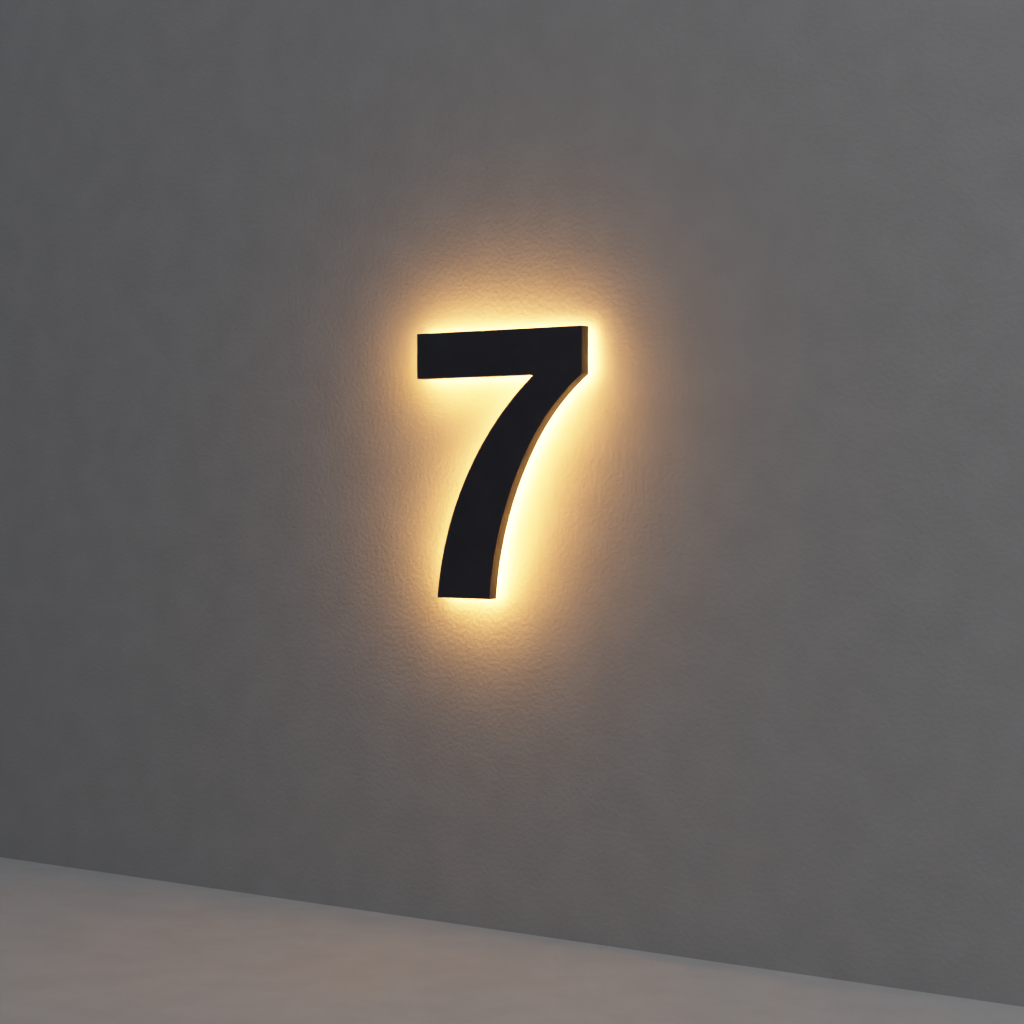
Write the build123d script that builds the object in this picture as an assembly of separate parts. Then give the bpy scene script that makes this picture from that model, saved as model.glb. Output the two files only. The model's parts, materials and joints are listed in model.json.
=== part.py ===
from build123d import *
import math
import os

# Halo-lit house numeral: a fabricated metal "7" that stands off a wall and shines back on it.
#
# Every piece is drawn flat on the wall as a sign maker lays it out: X to the right from the left
# end of the bar, Y up from the foot, Z straight out of the wall. At the end each piece is turned
# upright, with the wall as the plane Y = 0, the numeral on its -Y side, and the origin where the
# axis of the foot stud meets the wall. Millimetres throughout.

# ---------------------------------------------------------------- outline of the numeral
numeral_height = 350.0
bar_length = 260.8
bar_depth = 60.1  # thickness of the top bar, measured up and down
underside_length = 186.6  # from the left end of the bar to where the stem leaves it
right_end_depth = 60.9  # straight stretch at the bar's right end
foot_inset = 33.9  # from the left end of the bar to the foot's left corner
foot_width = 84.2
foot_lean = 4.2  # degrees from upright of the stem's right edge at the foot
stem_left_radius = 424.0
knee_height = 197.5  # where the two arcs of the stem's right edge meet
knee_width = 75.9  # width of the stem there
bend_radius = 0.8  # outside corners of the return

# ---------------------------------------------------------------- depths, out from the wall
standoff = 12.0  # wall to the back edge of the return
return_depth = 16.0  # back edge of the return to the front of the face
face_thickness = 1.5
return_thickness = 1.2
panel_thickness = 3.0
panel_recess = 1.0  # back edge of the return to the back of the panel
panel_edge_gap = 0.5

# ---------------------------------------------------------------- drain holes in the return
drain_radius = 2.0
foot_drain_inset = 20.0  # from each corner of the foot
bar_drain_inset = 45.0  # from each end of the bar's underside

# ---------------------------------------------------------------- tabs and screws for the panel
tab_width = 12.0
tab_reach = 10.0
tab_leg = 7.5
tab_thickness = 1.5
tab_weld_gap = 0.1
tab_screw_inset = 6.2  # screw axis from the inside of the return
screw_radius = 1.5
screw_head_radius = 2.85
screw_head_height = 1.65
screw_socket_radius = 1.15
screw_socket_depth = 0.9
screw_length = 7.5  # under the head
screw_hole_clearance = 0.2
thread_clearance = 0.02
washer_radius = 3.5
washer_thickness = 0.5

# ---------------------------------------------------------------- wall studs and their sockets
stud_inset = 24.0  # upper studs from the ends of the bar
stud_drop = 12.0  # upper studs below the top of the bar
foot_stud_rise = 15.0
wall_stud_radius = 2.5
wall_stud_length = 40.0  # in the wall
stud_tip_radius = 2.0
stud_tip_end = 8.5  # how far the tip stands in its socket
stud_chamfer = 0.6
sleeve_radius = 5.0
sleeve_clearance = 0.05
pad_radius = 7.0
pad_thickness = 1.0
pad_hole_radius = 2.75
socket_flange_radius = 7.0
socket_barrel_radius = 4.0
socket_depth = 9.5  # bore, from the mouth
socket_end_wall = 1.0
socket_running_clearance = 0.05
socket_hole_clearance = 0.1
ring_section_radius = 0.5
ring_depth = 5.2  # from the mouth of the socket
ring_seat_clearance = 0.02
nut_across_flats = 13.0
nut_thickness = 3.0

# ---------------------------------------------------------------- supply lead's grommet
lead_radius = 2.25
grommet_groove_radius = 4.0
grommet_flange_radius = 5.5
grommet_flange = 1.5
grommet_rise = 31.0  # above the terminal, along the stem

# ---------------------------------------------------------------- LED modules
stem_modules = 6
bar_modules = 4
first_module = 58.0  # along the stem's centreline from the foot
last_module = 14.5  # along it too, below its upper end
bar_first_inset = 34.0  # left-most module from the left end of the bar
bar_pitch = 56.0
bar_chain_drop = 28.0  # bar modules below the top of the bar
tape_thickness = 0.8
module_length = 36.0
module_width = 13.0
module_ear_thickness = 1.2
module_ear_hole_radius = 1.2
module_ear_hole_inset = 1.9
body_length = 30.0
body_height = 5.2
body_corner = 2.0
board_length = 24.0
board_width = 10.0
board_thickness = 1.0
pocket_depth = 2.4
pocket_clearance = 0.1
emitter_length = 3.5
emitter_width = 2.8
emitter_height = 0.7
emitter_offset = 6.0
optic_cavity_radius = 2.5
optic_cavity_depth = 0.9
dome_radius = 4.6
dome_height = 2.4
dome_dimple_radius = 1.6
dome_dimple_depth = 0.7

# ---------------------------------------------------------------- wires and terminal
wire_radius = 0.8
wire_pitch = 5.0
wire_rise = 3.4  # wire axis from the inside of the face
wire_loop = 13.5  # down from the first module before the wires turn back to the terminal
corner_run = 12.0  # up from the stem's last module before the wires turn into the bar
arc_share = 0.45  # share of the shorter run that a bend in a wire takes up
collar_radius = 1.4
collar_length = 1.5
terminal_offset = 18.5  # terminal's axis from the first module's
terminal_length = 16.0
terminal_width = 12.0
terminal_base = 4.6
tower_radius = 2.3
tower_height = 2.6
tower_inset = 4.0  # from each end
clamp_radius = 1.7
clamp_bore = 1.0
clamp_recess = 1.5
clamp_clearance = 0.02
terminal_screw_radius = 1.0
terminal_screw_head_radius = 1.6
terminal_screw_recess = 0.6
terminal_slot = 0.5

# ---------------------------------------------------------------- levels worked out from them
front = standoff + return_depth
face_back = front - face_thickness
panel_back = standoff + panel_recess
panel_front = panel_back + panel_thickness
underside = numeral_height - bar_depth
upper_stud_height = numeral_height - stud_drop
bar_chain_height = numeral_height - bar_chain_drop
body_front = tape_thickness + body_height
pocket_floor = body_front - pocket_depth
board_top = pocket_floor + board_thickness


# ================================================================ outline
def arc_centre(start, end, radius):
    """Centre, to the right of the way from start to end, of the arc of this radius."""
    chord = end - start
    middle = (start + end) / 2
    to_right = Vector(chord.Y, -chord.X) / chord.length
    return middle + to_right * math.sqrt(radius**2 - chord.length**2 / 4)


foot_left = Vector(foot_inset, 0)
foot_right = Vector(foot_inset + foot_width, 0)
crotch = Vector(underside_length, underside)
shoulder = Vector(bar_length, numeral_height - right_end_depth)
top_right = Vector(bar_length, numeral_height)
top_left = Vector(0, numeral_height)
bar_bottom_left = Vector(0, underside)

stem_centre = arc_centre(foot_left, crotch, stem_left_radius)
knee_left = stem_centre.X - math.sqrt(stem_left_radius**2 - (knee_height - stem_centre.Y) ** 2)
knee = Vector(knee_left + knee_width, knee_height)
lean = math.radians(foot_lean)

foot_edge = Line(foot_left, foot_right)
lower_edge = TangentArc(foot_right, knee, tangent=(math.sin(lean), math.cos(lean)))
upper_edge = TangentArc(knee, shoulder, tangent=lower_edge % 1)
right_end = Line(shoulder, top_right)
top_edge = Line(top_right, top_left)
left_end = Line(top_left, bar_bottom_left)
underside_edge = Line(bar_bottom_left, crotch)
stem_left_middle = stem_centre + ((foot_left + crotch) / 2 - stem_centre).normalized() * stem_left_radius
stem_left_edge = ThreePointArc(crotch, stem_left_middle, foot_left)
stem_edges = [foot_edge, lower_edge, upper_edge, stem_left_edge]
bar_edges = [right_end, top_edge, left_end, underside_edge]
outline = make_face(Curve() + stem_edges + bar_edges)


def inset_outline(distance):
    """The outline, moved inward by a distance, with sharp corners."""
    return offset(outline, amount=-distance, kind=Kind.INTERSECTION)


def rounded_outline():
    """The outline with the return's bends on its corners. The knee is smooth, so it has none."""
    corners = [v for v in outline.vertices() if (Vector(v) - knee).length > bend_radius]
    return fillet(corners, bend_radius)


def slab(sketch, low, high):
    """A sketch made solid between two levels."""
    return Pos(0, 0, low) * extrude(sketch, high - low)


def turned(*profile):
    """A solid of revolution about Z from corners given as (radius, level)."""
    return revolve(make_face(Plane.XZ * Polyline(*profile, close=True)), Axis.Z)


# ================================================================ face and return
face_plate = slab(rounded_outline(), face_back, front)

drain_level = standoff + (return_depth - face_thickness) / 2
drain = Rot(90, 0, 0) * Cylinder(drain_radius, 4 * return_thickness)
drain_points = [
    (foot_inset + foot_drain_inset, 0),
    (foot_inset + foot_width - foot_drain_inset, 0),
    (bar_drain_inset, underside),
    (underside_length - bar_drain_inset, underside),
]
# The return is two bent strips, welded where the stem leaves the bar.
strips = slab(rounded_outline() - inset_outline(return_thickness), standoff, face_back)
strips -= [Pos(x, y, drain_level) * drain for x, y in drain_points]
bar_zone = Pos(bar_length / 2, underside + bar_depth, front) * Box(2 * bar_length, 2 * bar_depth, 2 * front)
return_bar = strips & bar_zone
return_stem = strips - bar_zone


# ================================================================ tabs inside the return
def tab_places():
    """Where each tab stands: its frame has X along the return, Y into the numeral, Z off the panel."""
    stations = [
        (top_edge, 0.22),
        (top_edge, 0.74),
        (underside_edge, 0.5),
        (upper_edge, 0.72),
        (stem_left_edge, 0.2),
        (stem_left_edge, 0.7),
        (lower_edge, 0.62),
    ]
    places = []
    for edge, share in stations:
        along = edge % share
        inward = Vector(-along.Y, along.X)
        point = edge @ share + inward * (return_thickness + tab_weld_gap)
        places.append(Plane(origin=(point.X, point.Y, panel_front), x_dir=along, z_dir=(0, 0, 1)).location)
    return places


def panel_tab():
    """A strip bent to an L: the leg is welded to the return and the shelf takes the panel's screw."""
    profile = Polyline(
        (0, 0),
        (tab_reach, 0),
        (tab_reach, tab_thickness),
        (tab_thickness, tab_thickness),
        (tab_thickness, tab_leg),
        (0, tab_leg),
        close=True,
    )
    tab = Pos(-tab_width / 2, 0, 0) * extrude(Plane.YZ * make_face(profile), tab_width)
    inner_bend = tab.edges().filter_by(Axis.X).sort_by_distance((0, tab_thickness, tab_thickness))[0]
    tab = fillet(inner_bend, tab_thickness / 2)
    ends = tab.edges().filter_by(Axis.Z).group_by(Axis.Y)[-1]
    tab = fillet(ends, tab_width / 5)
    hole = Cylinder(screw_radius + thread_clearance, 4 * tab_thickness)
    return tab - Pos(0, tab_screw_inset - tab_weld_gap, 0) * hole


def panel_screw():
    """A button-head screw, its head towards the wall and its seat at Z = 0."""
    head = Pos(0, 0, -screw_head_height / 2) * Cylinder(screw_head_radius, screw_head_height)
    head = fillet(head.edges().group_by(Axis.Z)[0], screw_head_height * 0.7)
    key = RegularPolygon(screw_socket_radius, 6)
    head -= Pos(0, 0, -screw_head_height) * extrude(key, screw_socket_depth)
    shank = Pos(0, 0, screw_length / 2) * Cylinder(screw_radius, screw_length)
    return head + chamfer(shank.edges().group_by(Axis.Z)[-1], screw_radius / 4)


def ring(outer, inner, low, high):
    """A plain ring about Z between two levels."""
    return slab(Circle(outer) - Circle(inner), low, high)


tabs = tab_places()
screw_places = [place * Pos(0, tab_screw_inset - tab_weld_gap, -panel_thickness) for place in tabs]
panel_tabs = [place * panel_tab() for place in tabs]
panel_screws = [place * Pos(0, 0, -washer_thickness) * panel_screw() for place in screw_places]
washer = ring(washer_radius, screw_radius + screw_hole_clearance, -washer_thickness, 0)
panel_washers = [place * washer for place in screw_places]

# ================================================================ studs, sleeves, pads, sockets
left_stud = Vector(stud_inset, upper_stud_height)
right_stud = Vector(bar_length - stud_inset, upper_stud_height)
stem_line = ThreePointArc(
    (foot_left + foot_right) / 2,
    (Vector(knee_left, knee_height) + knee) / 2,
    (crotch + Vector(bar_length, underside)) / 2,
)
foot_stud = stem_line @ (foot_stud_rise / stem_line.length)
stud_points = [foot_stud, left_stud, right_stud]

socket_bore = stud_tip_radius + socket_running_clearance
ring_outer = stud_tip_radius + 2 * ring_section_radius + 2 * ring_seat_clearance
socket_top = standoff + socket_depth + socket_end_wall
tip_top = standoff + stud_tip_end


def wall_stud():
    """Rod in the wall, turned down from the wall outwards to carry the sleeve and enter the socket."""
    rod = Pos(0, 0, -wall_stud_length / 2) * Cylinder(wall_stud_radius, wall_stud_length)
    rod = chamfer(rod.edges().group_by(Axis.Z)[0], stud_chamfer)
    tip = Pos(0, 0, tip_top / 2) * Cylinder(stud_tip_radius, tip_top)
    return rod + chamfer(tip.edges().group_by(Axis.Z)[-1], stud_chamfer)


def stud_socket():
    """Blind flanged bush: its mouth faces the wall and a groove in its bore holds the O-ring."""
    body = turned(
        (0, standoff),
        (socket_flange_radius, standoff),
        (socket_flange_radius, panel_back),
        (socket_barrel_radius, panel_back),
        (socket_barrel_radius, socket_top),
        (0, socket_top),
    )
    body -= slab(Circle(socket_bore), standoff, standoff + socket_depth)
    groove_middle = standoff + ring_depth
    half = ring_section_radius + ring_seat_clearance
    body -= ring(ring_outer + ring_seat_clearance, socket_bore, groove_middle - half, groove_middle + half)
    mouth = body.edges().filter_by(GeomType.CIRCLE).group_by(Axis.Z)[0].sort_by(SortBy.RADIUS)[0]
    return chamfer(mouth, stud_chamfer)


def socket_nut():
    """Thin hexagon nut on the barrel, against the front of the panel."""
    hexagon = RegularPolygon(nut_across_flats / 2, 6, major_radius=False)
    hole = Circle(socket_barrel_radius + thread_clearance)
    return slab(hexagon - hole, panel_front, panel_front + nut_thickness)


def o_ring():
    """Ring that rests in the socket's groove and stays just clear of the stud at rest."""
    centre = stud_tip_radius + ring_section_radius + 2 * ring_seat_clearance
    return Pos(0, 0, standoff + ring_depth) * Torus(centre, ring_section_radius)


spacer_sleeve = ring(sleeve_radius, stud_tip_radius + sleeve_clearance, pad_thickness, standoff)
sleeve_circles = spacer_sleeve.edges().filter_by(GeomType.CIRCLE)
sleeve_rims = [e for e in sleeve_circles if e.radius > stud_tip_radius * 2]
spacer_sleeve = chamfer(sleeve_rims, stud_chamfer / 2)
wall_pad = ring(pad_radius, pad_hole_radius, 0, pad_thickness)


def at_studs(piece):
    """Copies of a piece, one on each stud's axis."""
    return [Pos(point.X, point.Y, 0) * piece for point in stud_points]


# ================================================================ chain of LED modules
def module_place(point, heading):
    """Frame on the inside of the face: X along the chain, Z from the face towards the wall."""
    along = Vector(math.cos(heading), math.sin(heading))
    return Plane(origin=(point.X, point.Y, face_back), x_dir=along, z_dir=(0, 0, -1)).location


def chain():
    """Point and heading, in radians, of every module from the foot to the left end of the bar."""
    stations = []
    stem_pitch = (stem_line.length - first_module - last_module) / (stem_modules - 1)
    for index in range(stem_modules):
        share = (first_module + index * stem_pitch) / stem_line.length
        along = stem_line % share
        stations.append((stem_line @ share, math.atan2(along.Y, along.X)))
    for index in reversed(range(bar_modules)):
        stations.append((Vector(bar_first_inset + index * bar_pitch, bar_chain_height), math.pi))
    return stations


def led_housing():
    """Moulded case: an eared base, a body with a pocket for board and lens, and wire collars."""
    base = slab(RectangleRounded(module_length, module_width, body_corner), tape_thickness,
                tape_thickness + module_ear_thickness)
    ear_x = module_length / 2 - module_ear_hole_inset
    base -= [Pos(x, 0, 0) * Cylinder(module_ear_hole_radius, 4 * body_height) for x in (-ear_x, ear_x)]
    body = slab(RectangleRounded(body_length, module_width, body_corner), tape_thickness, body_front)
    pocket = RectangleRounded(board_length + 2 * pocket_clearance, board_width + 2 * pocket_clearance,
                              body_corner / 2)
    body -= slab(pocket, pocket_floor, body_front)
    collars = []
    for side in (-1, 1):
        for y in (-wire_pitch / 2, wire_pitch / 2):
            x = side * (body_length + collar_length) / 2
            collars.append(Pos(x, y, wire_rise) * Rot(0, 90, 0) * Cylinder(collar_radius, collar_length))
    return base + body + collars


def led_board():
    """Aluminium-core board in the floor of the pocket."""
    return slab(RectangleRounded(board_length, board_width, body_corner / 2), pocket_floor, board_top)


def led_optic():
    """Clear lens plate: a hollow over each emitter and a dimpled wide-angle dome above it."""
    plate = slab(RectangleRounded(board_length, board_width, body_corner / 2), board_top, body_front)
    rim = (dome_radius, 0)
    crest = (dome_dimple_radius, dome_height)
    flank = ThreePointArc(rim, (dome_radius * 0.8, dome_height * 0.72), crest)
    floor = (0, dome_height - dome_dimple_depth)
    profile = make_face(Curve() + [flank, Line(crest, floor), Line(floor, (0, 0)), Line((0, 0), rim)])
    dome = revolve(Plane.XZ * profile, Axis.Z)
    cavity = Pos(0, 0, optic_cavity_depth / 2) * Cylinder(optic_cavity_radius, optic_cavity_depth)
    for x in (-emitter_offset, emitter_offset):
        plate += Pos(x, 0, body_front) * dome
        plate -= Pos(x, 0, board_top) * cavity
    return plate


def led_emitters():
    """The two lamp packages on a board."""
    chip = Box(emitter_length, emitter_width, emitter_height)
    return [Pos(x, 0, board_top + emitter_height / 2) * chip for x in (-emitter_offset, emitter_offset)]


def tape(length, width):
    """Foam tape between the face and what is stuck to it."""
    return slab(Rectangle(length, width), 0, tape_thickness)


stations = chain()
module_places = [module_place(point, heading) for point, heading in stations]

# ================================================================ supply terminal
first_point, first_heading = stations[0]
first_along = Vector(math.cos(first_heading), math.sin(first_heading))
first_right = Vector(first_along.Y, -first_along.X)
terminal_point = first_point + first_right * terminal_offset
terminal_place = module_place(terminal_point, first_heading)
grommet_point = terminal_point + first_along * grommet_rise

clamp_length = terminal_length - 2 * clamp_recess
terminal_screw_x = terminal_length / 2 - tower_inset
terminal_top = tape_thickness + terminal_base + tower_height
pole_sides = (-wire_pitch / 2, wire_pitch / 2)
screw_points = [(x, y) for x in (-terminal_screw_x, terminal_screw_x) for y in pole_sides]


def terminal_housing():
    """Two-pole terminal: a base bored for the clamps, with a tower over each clamp screw."""
    base = slab(RectangleRounded(terminal_length, terminal_width, body_corner / 2), tape_thickness,
                tape_thickness + terminal_base)
    tower_middle = terminal_top - tower_height / 2
    body = base + [Pos(x, y, tower_middle) * Cylinder(tower_radius, tower_height) for x, y in screw_points]
    channel = Rot(0, 90, 0) * Cylinder(clamp_radius + clamp_clearance, 2 * terminal_length)
    shaft = slab(Circle(terminal_screw_head_radius + clamp_clearance), wire_rise, 2 * terminal_top)
    body -= [Pos(0, y, wire_rise) * channel for y in pole_sides]
    return body - [Pos(x, y, 0) * shaft for x, y in screw_points]


def terminal_clamp():
    """Brass tube that joins the two ends of one pole, with a tapped hole for each screw."""
    tube = Rot(0, 90, 0) * (Cylinder(clamp_radius, clamp_length) - Cylinder(clamp_bore, 2 * clamp_length))
    hole = slab(Circle(terminal_screw_radius + clamp_clearance), 0, 2 * clamp_radius)
    return tube - [Pos(x, 0, 0) * hole for x in (-terminal_screw_x, terminal_screw_x)]


def terminal_screw():
    """Slotted clamp screw, its tip at the middle of the clamp's bore."""
    head_top = terminal_top - terminal_screw_recess
    head_base = wire_rise + clamp_radius + clamp_clearance
    head = slab(Circle(terminal_screw_head_radius), head_base, head_top)
    shank = slab(Circle(terminal_screw_radius), wire_rise, head_base)
    slot = Box(terminal_slot, 4 * terminal_screw_head_radius, 2 * terminal_slot)
    return head + shank - Pos(0, 0, head_top) * slot


# ================================================================ wires
def shifted(points, shift):
    """A polyline moved sideways to its left by a distance, kept parallel to itself."""
    ways = [(b - a).normalized() for a, b in zip(points, points[1:])]
    moved = []
    for index, point in enumerate(points):
        before = ways[max(index - 1, 0)]
        after = ways[min(index, len(ways) - 1)]
        left = Vector(-before.Y - after.Y, before.X + after.X).normalized()
        spread = Vector(-before.Y, before.X).dot(left)
        moved.append(point + left * (shift / spread))
    return moved


def wire(points, shift):
    """One insulated wire along a route, beside it by a shift, with arcs as large as its runs allow."""
    route = shifted(points, shift)
    runs = [b - a for a, b in zip(route, route[1:])]
    radii = []
    for before, after in zip(runs, runs[1:]):
        half_turn = math.radians(before.get_angle(after)) / 2
        radii.append(arc_share * min(before.length, after.length) / math.tan(half_turn))
    path = FilletPolyline(*route, radius=radii) if radii else Line(*route)
    start = Plane(origin=path @ 0, z_dir=path % 0)
    return Pos(0, 0, face_back - wire_rise) * sweep(start * Circle(wire_radius), path=path)


def port(station, side):
    """End of a module's wire collars, ahead of it (1) or behind it (-1)."""
    point, heading = station
    reach = body_length / 2 + collar_length
    return point + Vector(math.cos(heading), math.sin(heading)) * (side * reach)


def meeting(first, second):
    """Where the line ahead of one module crosses the line behind the next."""
    (a, heading_a), (b, heading_b) = first, second
    gap = b - a
    across = gap.X * math.sin(heading_b) - gap.Y * math.cos(heading_b)
    ahead = across / math.sin(heading_b - heading_a)
    return a + Vector(math.cos(heading_a), math.sin(heading_a)) * ahead


def routes():
    """Centre routes of the wire pairs: the terminal's, then one for each link of the chain."""
    down = -first_along
    start = terminal_point + down * (terminal_length / 2 - clamp_recess)
    end = port(stations[0], -1)
    low = end + down * wire_loop
    listed = [[start, low + first_right * terminal_offset, low, end]]
    for number, (first, second) in enumerate(zip(stations, stations[1:]), 1):
        ahead, behind = port(first, 1), port(second, -1)
        if number < stem_modules:
            bends = [meeting(first, second)]
        elif number == stem_modules:
            heading = first[1]
            out = ahead + Vector(math.cos(heading), math.sin(heading)) * corner_run
            bends = [out, Vector(out.X, behind.Y)]
        else:
            bends = []
        listed.append([ahead, *bends, behind])
    return listed


wire_routes = routes()
positive_wires = [wire(route, wire_pitch / 2) for route in wire_routes]
negative_wires = [wire(route, -wire_pitch / 2) for route in wire_routes]

# ================================================================ back panel and grommet
grommet_place = Pos(grommet_point.X, grommet_point.Y, 0)
panel_sketch = inset_outline(return_thickness + panel_edge_gap)
panel_hole = Circle(socket_barrel_radius + socket_hole_clearance)
panel_holes = [Pos(p.X, p.Y) * panel_hole for p in stud_points]
panel_holes.append(grommet_place * Circle(grommet_groove_radius))
for place in screw_places:
    panel_holes.append(Pos(place.position.X, place.position.Y) * Circle(screw_radius + screw_hole_clearance))
back_panel = slab(panel_sketch - panel_holes, panel_back, panel_front)

cable_grommet = turned(
    (lead_radius, panel_back - grommet_flange),
    (grommet_flange_radius - grommet_flange / 2, panel_back - grommet_flange),
    (grommet_flange_radius, panel_back),
    (grommet_groove_radius, panel_back),
    (grommet_groove_radius, panel_front),
    (grommet_flange_radius, panel_front),
    (grommet_flange_radius - grommet_flange / 2, panel_front + grommet_flange),
    (lead_radius, panel_front + grommet_flange),
)

# ================================================================ nodes
nodes = {
    "face_plate": [face_plate],
    "return_bar": [return_bar],
    "return_stem": [return_stem],
    "back_panel": [back_panel],
    "panel_tabs": panel_tabs,
    "panel_screws": panel_screws,
    "panel_washers": panel_washers,
    "socket_nuts": at_studs(socket_nut()),
    "socket_rings": at_studs(o_ring()),
    "cable_grommet": [grommet_place * cable_grommet],
    "terminal_housing": [terminal_place * terminal_housing()],
    "terminal_clamps": [terminal_place * Pos(0, y, wire_rise) * terminal_clamp() for y in pole_sides],
    "terminal_screws": [terminal_place * Pos(x, y, 0) * terminal_screw() for x, y in screw_points],
    "link_wires_positive": positive_wires,
    "link_wires_negative": negative_wires,
    "led_emitters": [place * chip for place in module_places for chip in led_emitters()],
    "fixing_tapes": [place * tape(module_length, module_width) for place in module_places]
    + [terminal_place * tape(terminal_length, terminal_width)],
}
for name, piece in (
    ("wall_stud", wall_stud()),
    ("spacer_sleeve", spacer_sleeve),
    ("wall_pad", wall_pad),
    ("stud_socket", stud_socket()),
):
    for number, copy in enumerate(at_studs(piece), 1):
        nodes[f"{name}_{number:02d}"] = [copy]
for name, piece in (("led_housing", led_housing()), ("led_board", led_board()), ("led_optic", led_optic())):
    for number, place in enumerate(module_places, 1):
        nodes[f"{name}_{number:02d}"] = [place * piece]

# Upright: drawing X stays X, drawing Y becomes up, and out of the wall becomes -Y.
upright = Plane(origin=(0, 0, 0), x_dir=(1, 0, 0), z_dir=(0, -1, 0)).location
to_origin = Pos(-foot_stud.X, -foot_stud.Y, 0)

os.makedirs("parts", exist_ok=True)
for name, pieces in nodes.items():
    solids = [solid for piece in pieces for solid in piece.solids()]
    export_step(Compound(children=[upright * to_origin * solid for solid in solids]), f"parts/{name}.step")
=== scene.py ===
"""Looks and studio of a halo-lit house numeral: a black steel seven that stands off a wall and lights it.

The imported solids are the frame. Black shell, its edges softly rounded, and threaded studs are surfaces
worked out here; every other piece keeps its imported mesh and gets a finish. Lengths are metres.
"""

import json
import logging
import math
from dataclasses import dataclass, field
from enum import Enum
from functools import cache
from typing import Any

import bmesh
import bpy
import numpy as np
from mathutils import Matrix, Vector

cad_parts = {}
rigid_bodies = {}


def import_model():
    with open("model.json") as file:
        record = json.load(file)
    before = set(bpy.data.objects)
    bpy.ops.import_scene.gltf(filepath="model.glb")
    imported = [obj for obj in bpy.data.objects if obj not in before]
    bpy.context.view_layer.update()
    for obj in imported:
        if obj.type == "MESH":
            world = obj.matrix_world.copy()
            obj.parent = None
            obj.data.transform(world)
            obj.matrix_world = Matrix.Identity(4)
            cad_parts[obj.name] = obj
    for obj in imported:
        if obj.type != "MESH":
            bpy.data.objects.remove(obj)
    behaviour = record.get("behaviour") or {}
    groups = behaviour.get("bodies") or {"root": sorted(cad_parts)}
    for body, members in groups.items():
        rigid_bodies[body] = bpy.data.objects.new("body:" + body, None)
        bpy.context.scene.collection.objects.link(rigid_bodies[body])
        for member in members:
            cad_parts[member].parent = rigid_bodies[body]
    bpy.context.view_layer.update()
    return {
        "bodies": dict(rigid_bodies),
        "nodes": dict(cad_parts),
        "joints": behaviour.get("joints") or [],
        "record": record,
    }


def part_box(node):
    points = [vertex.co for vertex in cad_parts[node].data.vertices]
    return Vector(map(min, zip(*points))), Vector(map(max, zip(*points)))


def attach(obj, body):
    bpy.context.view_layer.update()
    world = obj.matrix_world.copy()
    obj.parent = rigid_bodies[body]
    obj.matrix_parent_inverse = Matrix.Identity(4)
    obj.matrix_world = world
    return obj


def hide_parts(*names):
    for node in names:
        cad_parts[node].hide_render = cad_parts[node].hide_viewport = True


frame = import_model()

LOG = logging.getLogger("numeral")
MM = 0.001
Array = np.ndarray
Flat = tuple[float, float]
Place = tuple[float, float, float]
Colour = tuple[float, float, float, float]
Socket = bpy.types.NodeSocket


# ---------------------------------------------------------------- small vector helpers
def left_of(direction: Array) -> Array:
    """The direction turned a quarter to the left; it works on one vector or a stack of them."""
    return np.stack((-direction[..., 1], direction[..., 0]), axis=-1)


def unit(vector: Array) -> Array:
    """The vector at length one."""
    return vector / np.linalg.norm(vector)


def heading_of(angle: Array | float) -> Array:
    """Unit vectors at angles from the X axis."""
    return np.stack((np.cos(angle), np.sin(angle)), axis=-1)


def arc(centre: Flat, radius: float, start: float, end: float, steps: int) -> list[Flat]:
    """Points of an arc, its angles in degrees: centre plus radius times (cosine, sine)."""
    angles = np.radians(np.linspace(start, end, steps + 1))
    return [tuple(point) for point in np.array(centre) + radius * heading_of(angles)]


# ---------------------------------------------------------------- meshes from grids
SAME_POINT = 0.001 * MM
CREASE_DEGREES = 40.0


class Ends(Enum):
    """How a grid surface ends along its rows."""

    CAPPED = "a flat face closes the first and the last row"
    JOINED = "the last row meets the first again"


def grid_faces(rows: int, columns: int, ends: Ends) -> list[list[int]]:
    """Quads between neighbouring rows and columns, where the columns always close on themselves.

    Args:
        rows: number of rows of points.
        columns: number of points in each row.
        ends: whether the rows are capped or joined.

    Returns:
        The corner numbers of every face. Point (row, column) has the number row times columns plus column.
    """
    last = rows if ends is Ends.JOINED else rows - 1
    row, column = np.meshgrid(np.arange(last), np.arange(columns), indexing="ij")
    below, beside = (row + 1) % rows, (column + 1) % columns
    first, second = row * columns, below * columns
    corners = (first + column, first + beside, second + beside, second + column)
    faces = np.stack(corners, axis=-1).reshape(-1, 4).tolist()
    if ends is Ends.CAPPED:
        faces.append(list(range(columns))[::-1])
        faces.append(list(range((rows - 1) * columns, rows * columns)))
    return faces


def surface(name: str, points: Array, ends: Ends) -> bpy.types.Object:
    """A closed piece from a grid of points, faces outward, its flat ends flat and its bends smooth.

    Args:
        name: the piece's name.
        points: an array of rows by columns by three coordinates.
        ends: how the grid ends along its rows.

    Returns:
        The new object, linked to the scene.
    """
    rows, columns, _ = points.shape
    mesh = bpy.data.meshes.new(name)
    mesh.from_pydata(points.reshape(-1, 3).tolist(), [], grid_faces(rows, columns, ends))
    shape = bmesh.new()
    shape.from_mesh(mesh)
    bmesh.ops.remove_doubles(shape, verts=shape.verts, dist=SAME_POINT)
    bmesh.ops.recalc_face_normals(shape, faces=shape.faces)
    shape.to_mesh(mesh)
    shape.free()
    piece = bpy.data.objects.new(name, mesh)
    bpy.context.scene.collection.objects.link(piece)
    shade(mesh)
    return piece


def shade(mesh: bpy.types.Mesh) -> None:
    """Smooth shading across angles under the crease, and flat shading on faces of many corners.

    Args:
        mesh: the mesh, which is changed in place.
    """
    corners = np.empty(len(mesh.polygons), np.int32)
    mesh.polygons.foreach_get("loop_total", corners)
    mesh.polygons.foreach_set("use_smooth", corners <= 4)
    mesh.set_sharp_from_angle(angle=math.radians(CREASE_DEGREES))
    mesh.update()


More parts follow.
